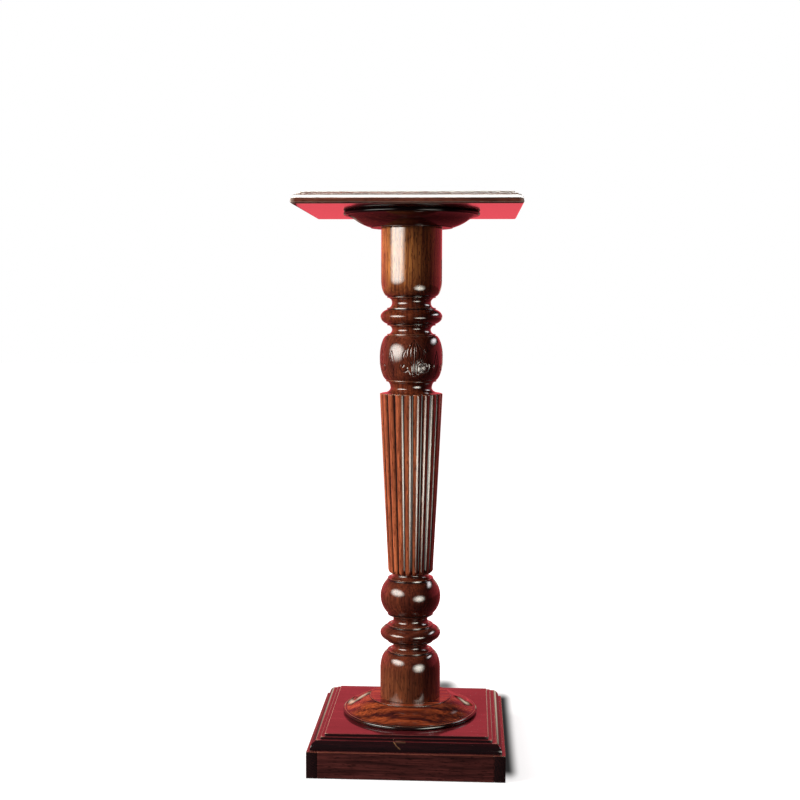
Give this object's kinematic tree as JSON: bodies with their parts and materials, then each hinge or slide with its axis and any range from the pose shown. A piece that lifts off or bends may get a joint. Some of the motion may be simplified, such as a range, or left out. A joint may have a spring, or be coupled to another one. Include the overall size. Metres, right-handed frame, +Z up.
{
  "type": "pedestal column stand",
  "caption": "Free-standing wooden pedestal: moulded square top and hollow square plinth joined by a turned, carved and reeded column.",
  "frame": {"origin": "centre of the square plinth box, on the floor", "axes": "+Z up along the column; the front faces -Y, and the side boards' end grain shows there"},
  "size_m": [0.347, 0.347, 0.9],
  "materials": {
    "polished_wood": "glossy varnish over red-brown stain",
    "bare_wood": "unfinished, sawn",
    "steel": "zinc plated"
  },
  "bodies": {
    "root": {"top_board": "polished_wood", "top_flange": "polished_wood", "column_upper": "polished_wood", "column_shaft": "polished_wood", "column_lower": "polished_wood", "base_collar": "polished_wood", "plinth_board": "polished_wood", "apron_front": "polished_wood", "apron_back": "polished_wood", "apron_left": "polished_wood", "apron_right": "polished_wood", "corner_block_front_left": "bare_wood", "corner_block_front_right": "bare_wood", "corner_block_back_left": "bare_wood", "corner_block_back_right": "bare_wood", "flange_dowels": "bare_wood", "block_screws": "steel", "collar_screws": "steel", "foot_screw": "steel", "foot_washer": "steel"}
  },
  "joints": []
}
